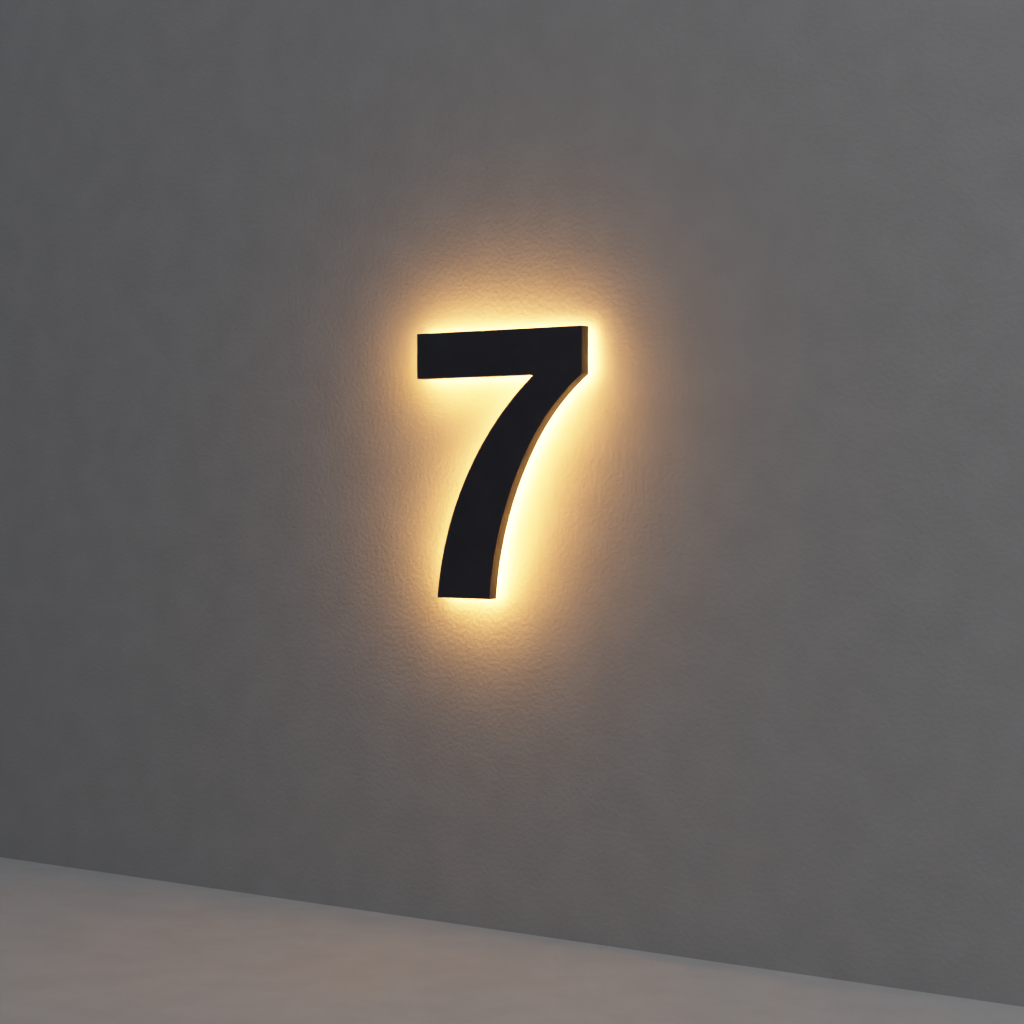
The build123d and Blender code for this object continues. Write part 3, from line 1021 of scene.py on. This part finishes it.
@dataclass
class Studs:
    """The studs: threaded in the wall, turned down outside it to carry sleeve and socket."""

    count: int = 3
    radius: float = 2.5 * MM
    tip_radius: float = 2.0 * MM
    pitch: float = 0.8 * MM
    thread_depth: float = 0.45 * MM
    tooth_height: float = 1.25
    tooth_root: float = 0.1
    chamfer: float = 0.6 * MM
    steps_round: int = 28
    steps_a_pitch: int = 6

    def points(self, axis: Flat, tip: float, end: float) -> Array:
        """Rows of rings about the axis, from the tip outside the wall to the end inside it.

        In the wall the radius is the full radius less the thread's depth times a tooth with flat crest and
        root in (Y / pitch - angle), and the tooth fades in and out over one pitch at both ends.

        Args:
            axis: X and Z of the stud's axis.
            tip: Y of the tip, outside the wall.
            end: Y of the end, inside it.

        Returns:
            An array of rings by points by three coordinates.
        """
        chamfer, slim, last = self.chamfer, self.tip_radius, end - self.chamfer
        rings = int(last / self.pitch * self.steps_a_pitch)
        depth = np.concatenate(([tip, tip + chamfer, 0.0], np.linspace(0, last, rings), [end]))
        full = np.full(rings, self.radius)
        base = np.concatenate(([slim - chamfer, slim, slim], full, [self.radius - chamfer]))
        fade = np.clip(depth / self.pitch, 0, 1) * np.clip((last - depth) / self.pitch, 0, 1)
        angle = np.linspace(0, 2 * np.pi, self.steps_round, endpoint=False)
        phase = (depth[:, None] / self.pitch - angle[None, :] / (2 * np.pi)) % 1.0
        tooth = np.clip(np.abs(2 * phase - 1) * self.tooth_height - self.tooth_root, 0, 1)
        radius = base[:, None] - self.thread_depth * fade[:, None] * tooth
        x = axis[0] + radius * np.cos(angle)
        z = axis[1] + radius * np.sin(angle)
        return np.stack((x, np.broadcast_to(depth[:, None], x.shape), z), axis=-1)

    def build(self, material: bpy.types.Material) -> None:
        """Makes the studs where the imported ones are.

        Args:
            material: the studs' steel.
        """
        for number in range(1, self.count + 1):
            low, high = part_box(f"wall_stud_{number:02d}")
            axis = ((low.x + high.x) / 2, (low.z + high.z) / 2)
            piece = surface(f"threaded_stud_{number:02d}", self.points(axis, low.y, high.y), Ends.CAPPED)
            dress(piece, material)
            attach(piece, "wall_fixings")
            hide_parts(f"wall_stud_{number:02d}")
            LOG.info("%s at x %.4f z %.4f", piece.name, *axis)


@dataclass
class PackedPieces:
    """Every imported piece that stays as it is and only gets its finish."""

    frame: dict[str, Any]

    def build(self, materials: dict[str, bpy.types.Material]) -> None:
        """Dresses each piece with the finish of its slot in the record.

        Args:
            materials: a material for each slot.
        """
        for row in self.frame["record"]["subparts"]:
            piece = self.frame["nodes"][row["node"]]
            if piece.hide_render:
                continue
            slot = row["material_slot"]
            dress(piece, materials[slot])
            LOG.info("%s keeps its packed mesh, finish %s", piece.name, slot)


# ---------------------------------------------------------------- studio
@dataclass(frozen=True)
class SoftLight:
    """A square soft light at a place, turned to its aim; its size is in metres."""

    name: str
    place: Place
    aim: Place
    size: float
    watts: float
    colour: tuple[float, float, float]

    def build(self) -> bpy.types.Object:
        """Makes the light. Its tilt is the angle between up and the way that it comes from.

        Returns:
            The light, linked to the scene.
        """
        data = bpy.data.lights.new(self.name, "AREA")
        data.size, data.energy, data.color = self.size, self.watts, self.colour
        light = bpy.data.objects.new(self.name, data)
        light.location = self.place
        way = np.array(self.aim) - np.array(self.place)
        tilt = math.acos(way[2] / -np.linalg.norm(way))
        light.rotation_euler = (tilt, 0.0, math.atan2(way[0], -way[1]) + math.pi)
        bpy.context.scene.collection.objects.link(light)
        return light


SOFT_LIGHTS = (
    SoftLight("key_light", (-0.9, -1.6, 2.6), (0.0, 0.0, 0.1), 1.6, 6.5, (0.86, 0.92, 1.0)),
    SoftLight("fill_light", (2.6, -1.4, 1.6), (0.05, 0.0, 0.1), 1.4, 23.0, (0.96, 0.97, 1.0)),
    SoftLight("rear_light", (0.6, 1.9, 1.0), (0.05, 0.0, 0.15), 1.2, 16.0, (0.96, 0.97, 1.0)),
)


@dataclass
class Studio:
    """A plain pale wall and floor, soft lights, and a camera where the photograph was taken from."""

    lamps: tuple[Place, ...]
    camera_place: Place = (1.6108, -2.2505, 0.12905)
    camera_turn: float = math.radians(34.615)
    focal_pixels: float = 2093.8
    picture_pixels: float = 1024.0
    horizon_shift: float = -23.35
    sensor: float = 36.0
    nearest: float = 0.05
    farthest: float = 50.0
    wall_left: float = -1.7
    wall_right: float = 2.3
    wall_top: float = 1.6
    floor_level: float = -0.45
    floor_reach: float = 4.0
    wall_colour: Colour = (0.44, 0.43, 0.425, 1.0)
    floor_colour: Colour = (0.74, 0.73, 0.72, 1.0)
    patch_size: float = 60 * MM
    patch_shade: float = 0.93
    float_size: float = 6 * MM
    float_height: float = 1.4 * MM
    float_strength: float = 0.6
    plaster_roughness: float = 0.9
    plaster_specular: float = 0.2
    world_colour: Colour = (0.62, 0.66, 0.74, 1.0)
    world_strength: float = 0.16
    scatter_colour: tuple[float, float, float] = (1.0, 0.42, 0.09)
    foot_watts: float = 0.7
    bar_watts: float = 0.21
    scatter_size: float = 0.04
    scatter_reach: float = 0.055
    scatter_aside: float = 0.005
    scatter_drop: float = 0.014
    end_share: float = 2.0

    def sheet(self, name: str, corners: list[Place], material: bpy.types.Material) -> None:
        """A flat stage piece.

        Args:
            name: its name.
            corners: its corners, turning to the left as seen from its front.
            material: its material.
        """
        mesh = bpy.data.meshes.new(name)
        mesh.from_pydata(corners, [], [tuple(range(len(corners)))])
        piece = bpy.data.objects.new(name, mesh)
        bpy.context.scene.collection.objects.link(piece)
        dress(piece, material)

    def plaster(self, name: str, colour: Colour, one_sided: bool) -> bpy.types.Material:
        """Matt pale plaster with a faint float texture.

        Args:
            name: the material's name.
            colour: the plaster's colour between its darker patches.
            one_sided: whether a view from behind goes through it.

        Returns:
            The material.
        """
        material, board = blank(name)
        grain = board.effect(Effects.grain(), {"Place": board.place(), "Size": self.float_size})
        darker = tuple(self.patch_shade * part for part in colour[:3]) + (1.0,)
        inputs = {
            "Base Color": mottled(board, self.patch_size, 1.0, colour, darker),
            "Roughness": self.plaster_roughness,
            "Specular IOR Level": self.plaster_specular,
            "Normal": board.bump(grain.outputs["Height"], self.float_strength, self.float_height),
        }
        plaster = board.add("ShaderNodeBsdfPrincipled", inputs)
        shader = plaster.outputs[0]
        if one_sided:
            behind = board.add("ShaderNodeNewGeometry").outputs["Backfacing"]
            shader = board.mix_shaders(behind, plaster, board.add("ShaderNodeBsdfTransparent"))
        output(board, shader)
        return material

    def room(self) -> None:
        """The wall, whose front faces the numeral, and the floor below it."""
        left, right, far = self.wall_left, self.wall_right, self.floor_reach
        low, high = self.floor_level, self.wall_top
        wall = [(left, 0.0, low), (right, 0.0, low), (right, 0.0, high), (left, 0.0, high)]
        self.sheet("studio_wall", wall, self.plaster("wall_plaster", self.wall_colour, True))
        floor = [(-far, -far, low), (far, -far, low), (far, far, low), (-far, far, low)]
        self.sheet("studio_floor", floor, self.plaster("floor_plaster", self.floor_colour, False))

    def scatter(self) -> None:
        """The wide soft edge of the halo, which a rough surface sheds and smooth plaster doesn't.

        A small light over each lamp module, unseen itself, shines on the wall alone. Its watts are the
        bar's, plus what the foot's have over them times the square of how far below the bar it is. Its
        shift to the right falls evenly to none at the bar. The last light, at the bar's free end, gets a
        greater share.
        """
        wall = bpy.data.collections.new("lit_wall")
        wall.objects.link(bpy.data.objects["studio_wall"])
        foot, bar = min(z for _, _, z in self.lamps), max(z for _, _, z in self.lamps)
        for number, (x, _, z) in enumerate(self.lamps, 1):
            fall = (bar - z) / (bar - foot)
            share = self.end_share if number == len(self.lamps) else 1.0
            watts = share * (self.bar_watts + (self.foot_watts - self.bar_watts) * fall**2)
            across, up = x + self.scatter_aside * fall, z - self.scatter_drop
            place, aim = (across, -self.scatter_reach, up), (across, 0.0, up)
            name = f"scatter_light_{number:02d}"
            light = SoftLight(name, place, aim, self.scatter_size, watts, self.scatter_colour).build()
            light.light_linking.receiver_collection = wall
            light.light_linking.blocker_collection = wall
            light.visible_camera = light.visible_glossy = light.visible_transmission = False

    def lights(self) -> None:
        """A weak cool sky, and soft lights from the left and right in front and from behind the wall."""
        world = bpy.data.worlds.new("studio_air")
        world.use_nodes = True
        background = world.node_tree.nodes["Background"]
        background.inputs["Color"].default_value = self.world_colour
        background.inputs["Strength"].default_value = self.world_strength
        bpy.context.scene.world = world
        for light in SOFT_LIGHTS:
            light.build()

    def camera(self) -> None:
        """The level camera, a little below the numeral's middle, with the photograph's lens."""
        data = bpy.data.cameras.new("photo_camera")
        data.sensor_width = self.sensor
        data.lens = self.sensor * self.focal_pixels / self.picture_pixels
        data.shift_y = self.horizon_shift / self.picture_pixels
        data.clip_start, data.clip_end = self.nearest, self.farthest
        camera = bpy.data.objects.new("photo_camera", data)
        camera.location = self.camera_place
        camera.rotation_euler = (math.pi / 2, 0.0, self.camera_turn)
        bpy.context.scene.collection.objects.link(camera)
        bpy.context.scene.camera = camera

    def film(self) -> None:
        """The film's soft shoulder: each channel becomes one less e to the power of minus itself.

        A glow many times brighter than paper then runs from white through yellow to amber, as it does in
        a photograph, while the darks stay as they are.
        """
        scene = bpy.context.scene
        scene.view_settings.view_transform = "Standard"
        scene.view_settings.look = "None"
        scene.use_nodes = True
        tree = scene.node_tree
        tree.nodes.clear()
        board = Board(tree)
        render = board.add("CompositorNodeRLayers")
        split = board.add("CompositorNodeSeparateColor", {"Image": render.outputs["Image"]})
        joined = board.add("CompositorNodeCombineColor", {"Alpha": split.outputs["Alpha"]})
        for channel in ("Red", "Green", "Blue"):
            level: Any = split.outputs[channel]
            for first, operation in ((-1.0, "MULTIPLY"), (math.e, "POWER"), (1.0, "SUBTRACT")):
                inputs = {0: first, 1: level}
                level = board.add("CompositorNodeMath", inputs, operation=operation).outputs[0]
            tree.links.new(level, joined.inputs[channel])
        board.add("CompositorNodeComposite", {"Image": joined.outputs["Image"]})

    def build(self) -> None:
        """Sets up the whole studio."""
        self.room()
        self.lights()
        self.scatter()
        self.camera()
        self.film()
        LOG.info("studio: wall, floor, soft lights and the camera")


# ---------------------------------------------------------------- everything in order
def lamp_centres() -> tuple[Place, ...]:
    """Middle of every lamp module's lens, level with the back of the opal sheet.

    Returns:
        The middles in the modules' order, from the foot to the bar's free end.
    """
    sheet_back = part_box("back_panel")[1].y
    centres = []
    for name in sorted(node for node in frame["nodes"] if node.startswith("led_optic")):
        low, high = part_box(name)
        centres.append(((low.x + high.x) / 2, sheet_back, (low.z + high.z) / 2))
    return tuple(centres)


def main() -> None:
    """Builds the numeral, its fixings and the studio."""
    logging.basicConfig(level=logging.INFO, format="%(name)s: %(message)s")
    low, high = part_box("face_plate")
    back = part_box("return_stem")[1].y
    plate = Plate(Outline(high.x - low.x, high.z - low.z), low.x, low.z)
    lamps = lamp_centres()
    materials = {slot: finish.build() for slot, finish in finishes(lamps).items()}
    Shell(plate, low.y, high.y, back).build(materials["black_coat"], strip_finish().build())
    Studs().build(materials["stainless"])
    PackedPieces(frame).build(materials)
    Studio(lamps).build()


if __name__ == "__main__":
    main()
